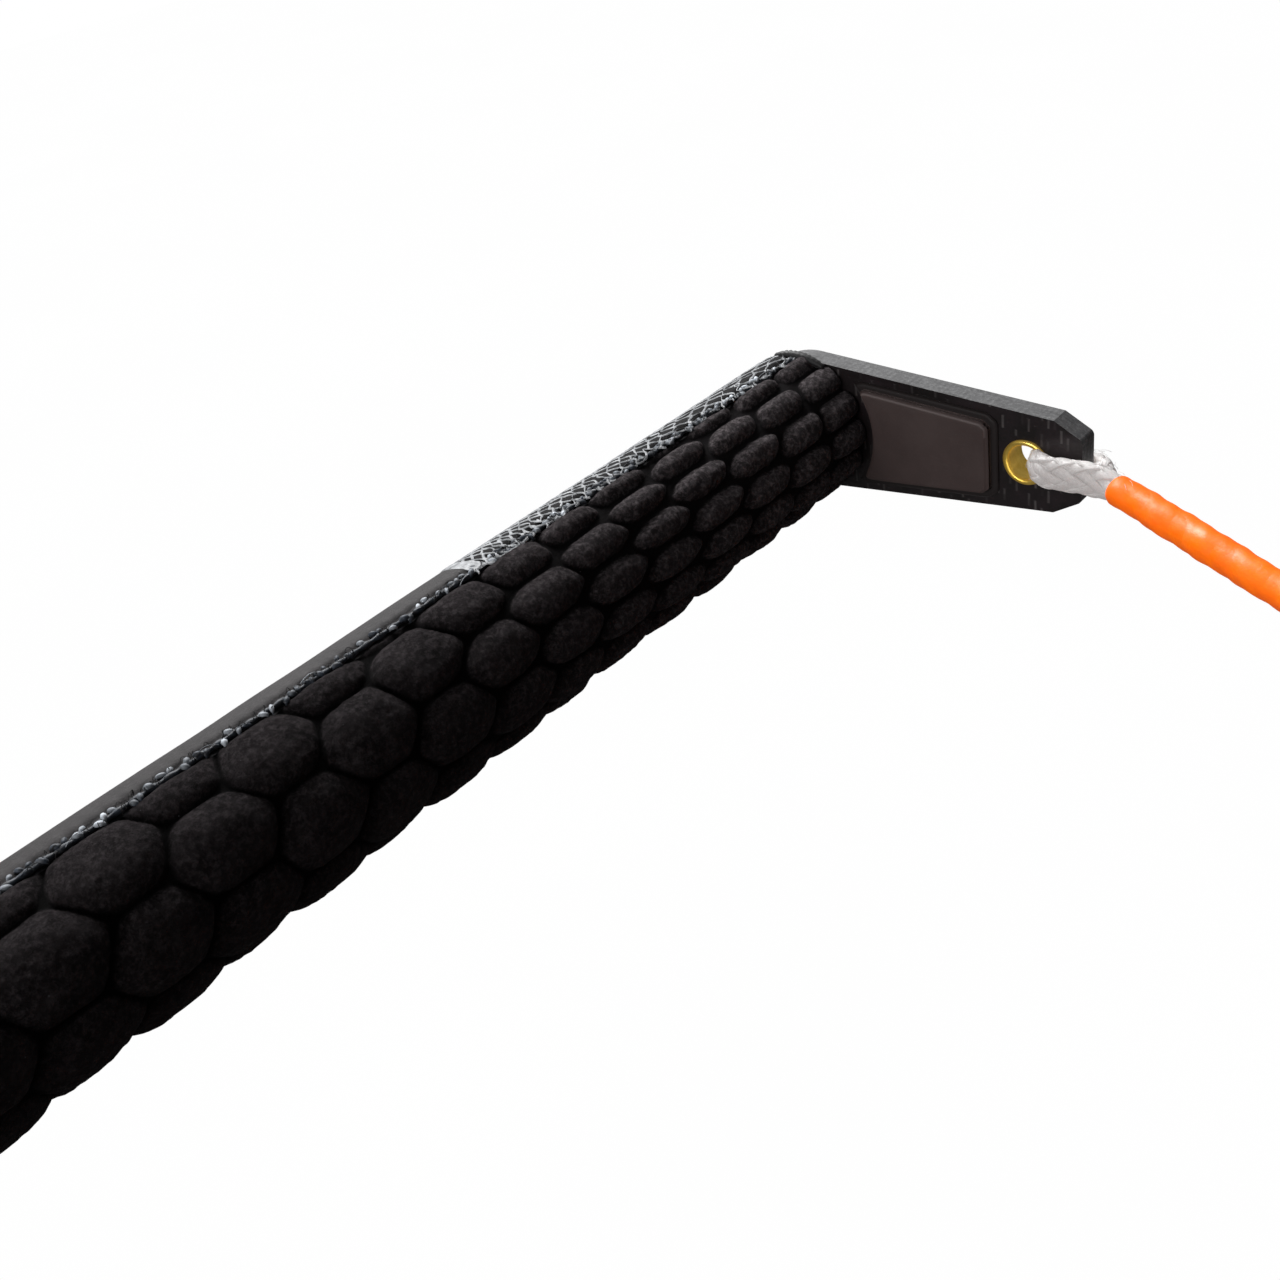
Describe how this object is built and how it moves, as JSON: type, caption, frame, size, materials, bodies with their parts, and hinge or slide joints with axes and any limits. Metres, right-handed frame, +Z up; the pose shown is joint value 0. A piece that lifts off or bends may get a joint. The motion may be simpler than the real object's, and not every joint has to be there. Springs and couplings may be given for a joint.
{
  "type": "tow rope handle",
  "caption": "Padded straight tow bar held between flat end ears, with a sleeved rope bridle running to a spliced tow loop.",
  "frame": {"origin": "on the bar's axis, half way between the two ears", "axes": "+X along the bar to the right ear, +Y the way the rope pulls, +Z up"},
  "size_m": [0.3482, 0.5578, 0.028],
  "materials": {
    "carbon_tube": "satin woven carbon laminate",
    "core_foam": "closed-cell foam",
    "plug_metal": "turned",
    "carbon_plate": "satin woven carbon laminate with cut edges",
    "screw_steel": "satin",
    "eyelet_brass": "polished",
    "pad_rubber": "smooth matte",
    "grip_foam": "closed-cell foam",
    "pebbled_suede": "fine napped suede with raised cells",
    "back_panel": "smooth matte grain",
    "seam_thread": "stitched thread",
    "net_print": "fine net",
    "grey_rope": "waxy hollow braid",
    "orange_sleeve": "glossy soft coating",
    "black_shrink": "satin shrunk tubing"
  },
  "bodies": {
    "handle": {"bar_tube": "carbon_tube", "core_foam": "core_foam", "left_end_plug": "plug_metal", "right_end_plug": "plug_metal", "left_ear": "carbon_plate", "right_ear": "carbon_plate", "left_ear_screws": "screw_steel", "right_ear_screws": "screw_steel", "left_eyelet": "eyelet_brass", "right_eyelet": "eyelet_brass", "left_eyelet_washer": "eyelet_brass", "right_eyelet_washer": "eyelet_brass", "left_ear_pad": "pad_rubber", "right_ear_pad": "pad_rubber", "grip_foam": "grip_foam", "grip_front_panel": "pebbled_suede", "grip_back_panel": "back_panel", "upper_seam": "seam_thread", "lower_seam": "seam_thread", "left_grip_net": "net_print", "right_grip_net": "net_print"},
    "bridle": {"left_leg_rope": "grey_rope", "right_leg_rope": "grey_rope", "left_leg_sleeve": "orange_sleeve", "right_leg_sleeve": "orange_sleeve", "apex_boot": "black_shrink", "splice_core": "grey_rope"},
    "tow_link": {"link_rope": "grey_rope", "link_cuff": "black_shrink"},
    "tow_loop": {"tow_loop_rope": "grey_rope", "throat_shrink": "black_shrink", "loop_chafe_sleeve": "orange_sleeve"}
  },
  "joints": [
    {"name": "bridle_swing", "type": "hinge", "parent": "handle", "child": "bridle", "pos_m": [0, 0.0448, 0], "axis": [1, 0, 0], "range_deg": [-100, 100]},
    {"name": "tow_pitch", "type": "hinge", "parent": "bridle", "child": "tow_link", "pos_m": [0, 0.402, 0], "axis": [1, 0, 0], "range_deg": [-80, 80]},
    {"name": "tow_yaw", "type": "hinge", "parent": "tow_link", "child": "tow_loop", "pos_m": [0, 0.44, 0], "axis": [0, 0, 1], "range_deg": [-80, 80]}
  ]
}
